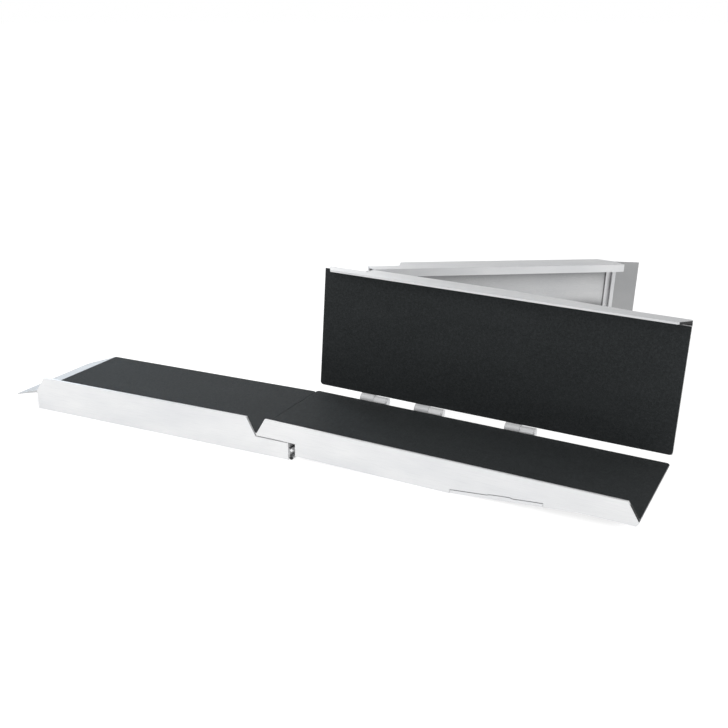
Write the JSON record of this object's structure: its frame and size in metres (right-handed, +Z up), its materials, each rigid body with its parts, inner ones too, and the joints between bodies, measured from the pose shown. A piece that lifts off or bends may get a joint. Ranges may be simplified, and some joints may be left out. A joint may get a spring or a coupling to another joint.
{
  "type": "portable wheelchair ramp",
  "caption": "Folding aluminium wheelchair ramp in two side-by-side halves with black grit treads and raised kerbs, part unfolded and standing like an open book.",
  "frame": {"origin": "under the near upper panel, on the underside of its inner rail flange, below the seam between the near half's two panels", "axes": "+X along the near half towards the ground end of its lower panel, +Y from the near half towards the far half, +Z up from the floor"},
  "size_m": [2.0241, 1.2741, 0.4629],
  "materials": {
    "aluminium": "mill-finished, lightly brushed",
    "grit": "mineral grit in black resin",
    "zinc_steel": "zinc plated, satin",
    "dark_steel": "blackened",
    "black_rubber": "matte",
    "black_plastic": "matte"
  },
  "bodies": {
    "near_lower": {"near_lower_deck": "aluminium", "near_lower_side_rail": "aluminium", "near_lower_inner_rail": "aluminium", "near_lower_rib_1": "aluminium", "near_lower_rib_2": "aluminium", "near_lower_hinge_beam": "aluminium", "near_lower_nose": "aluminium", "near_lower_tread": "grit", "near_lower_cross_leaf": "zinc_steel", "near_lower_cross_pin": "dark_steel", "near_lower_kerb_insert": "black_rubber", "near_lower_stop_bar": "zinc_steel", "near_lower_handle_guide": "black_plastic", "near_knuckle_1": "zinc_steel", "long_pin_1": "zinc_steel", "near_knuckle_2": "zinc_steel", "long_pin_2": "zinc_steel", "near_knuckle_3": "zinc_steel", "long_pin_3": "zinc_steel"},
    "near_upper": {"near_upper_deck": "aluminium", "near_upper_side_rail": "aluminium", "near_upper_inner_rail": "aluminium", "near_upper_rib_1": "aluminium", "near_upper_rib_2": "aluminium", "near_upper_end_channel": "aluminium", "near_upper_lip": "aluminium", "near_upper_tongue_beam": "aluminium", "near_upper_tread": "grit", "near_upper_cross_leaf": "zinc_steel"},
    "far_lower": {"far_lower_deck": "aluminium", "far_lower_side_rail": "aluminium", "far_lower_inner_rail": "aluminium", "far_lower_rib_1": "aluminium", "far_lower_rib_2": "aluminium", "far_lower_hinge_beam": "aluminium", "far_lower_nose": "aluminium", "far_lower_tread": "grit", "far_lower_cross_leaf": "zinc_steel", "far_lower_cross_pin": "dark_steel", "far_lower_kerb_insert": "black_rubber", "far_lower_stop_bar": "zinc_steel", "far_lower_handle_guide": "black_plastic", "far_knuckle_1": "zinc_steel", "far_knuckle_2": "zinc_steel", "far_knuckle_3": "zinc_steel"},
    "far_upper": {"far_upper_deck": "aluminium", "far_upper_side_rail": "aluminium", "far_upper_inner_rail": "aluminium", "far_upper_rib_1": "aluminium", "far_upper_rib_2": "aluminium", "far_upper_end_channel": "aluminium", "far_upper_lip": "aluminium", "far_upper_tongue_beam": "aluminium", "far_upper_tread": "grit", "far_upper_cross_leaf": "zinc_steel"},
    "near_handle": {"near_lower_handle": "aluminium"},
    "far_handle": {"far_lower_handle": "aluminium"}
  },
  "joints": [
    {"name": "near_cross_hinge", "type": "hinge", "parent": "near_lower", "child": "near_upper", "pos_m": [0.1304, -0.1805, 0.007], "axis": [0, 1, 0], "range_deg": [-177.64, 1.86]},
    {"name": "long_hinge", "type": "hinge", "parent": "near_lower", "child": "far_lower", "pos_m": [0.55656, 0.025, 0.04816], "axis": [0.9995, 0, -0.0325], "range_deg": [-85.84, 78]},
    {"name": "far_cross_hinge", "type": "hinge", "parent": "far_lower", "child": "far_upper", "pos_m": [0.13872, 0.09476, 0.26283], "axis": [0.0324, 0.0725, 0.9968], "range_deg": [-48.5, 131]},
    {"name": "near_handle_slide", "type": "slide", "parent": "near_lower", "child": "near_handle", "axis": [0, -1, 0], "range_m": [0, 0.045]},
    {"name": "far_handle_slide", "type": "slide", "parent": "far_lower", "child": "far_handle", "axis": [0.0324, 0.0725, 0.9968], "range_m": [0, 0.045]}
  ]
}
